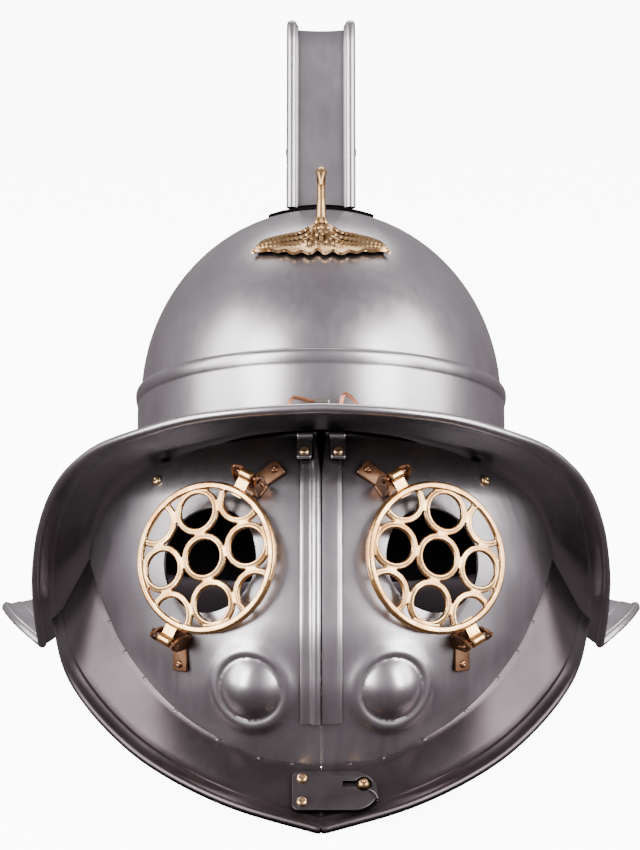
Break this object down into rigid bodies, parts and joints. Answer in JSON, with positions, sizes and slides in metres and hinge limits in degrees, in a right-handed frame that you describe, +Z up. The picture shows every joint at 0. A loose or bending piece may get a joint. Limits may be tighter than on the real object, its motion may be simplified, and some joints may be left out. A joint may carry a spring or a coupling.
{
  "type": "gladiator helmet",
  "caption": "Steel helmet with a wide brim, box crest, winged brass ornament and a hinged face guard in two halves with round pierced eye guards.",
  "frame": {"origin": "on the surface the helmet rests on, under the middle of its width and depth", "axes": "+Z up from the surface, the face guard looks toward -Y, +X to the viewer's right; the helmet rests tilted back on its collar and neck guard"},
  "size_m": [0.3742, 0.3704, 0.398],
  "materials": {
    "steel": "polished sheet steel with fine brushing and darkened hollows",
    "dark_steel": "dark scaled steel",
    "brass": "pale polished brass",
    "antique_brass": "cast brass with dark recesses",
    "copper": "bare copper wire"
  },
  "bodies": {
    "helmet": {"shell": "steel", "crest_plate_left": "steel", "crest_plate_right": "steel", "crest_channel": "steel", "crest_foot": "dark_steel", "crest_rivet_left": "brass", "crest_rivet_right": "brass", "ornament": "antique_brass", "wire_left": "copper", "wire_right": "copper", "hinge_bracket_left": "steel", "hinge_bracket_right": "steel"},
    "visor_left": {"visor_left": "steel", "collar_left": "steel", "seam_strip_left": "steel", "tab_left": "steel", "tab_rivet_left": "brass", "hinge_leaf_left": "steel", "hinge_rivet_left": "brass", "grille_left": "brass", "grille_bracket_upper_left": "brass", "grille_bracket_lower_left": "brass", "clasp_plate": "steel", "clasp_rivet_upper": "brass", "clasp_rivet_lower": "brass"},
    "visor_right": {"visor_right": "steel", "collar_right": "steel", "seam_strip_right": "steel", "tab_right": "steel", "tab_rivet_right": "brass", "hinge_leaf_right": "steel", "hinge_rivet_right": "brass", "grille_right": "brass", "grille_bracket_upper_right": "brass", "grille_bracket_lower_right": "brass", "clasp_stud": "brass"}
  },
  "joints": [
    {"name": "visor_left_hinge", "type": "hinge", "parent": "helmet", "child": "visor_left", "pos_m": [-0.08481, -0.06905, 0.16444], "axis": [-0.7966, 0.3495, -0.4933], "range_deg": [0, 30]},
    {"name": "visor_right_hinge", "type": "hinge", "parent": "helmet", "child": "visor_right", "pos_m": [0.08481, -0.06905, 0.16444], "axis": [-0.7966, -0.3495, 0.4933], "range_deg": [0, 30]}
  ]
}
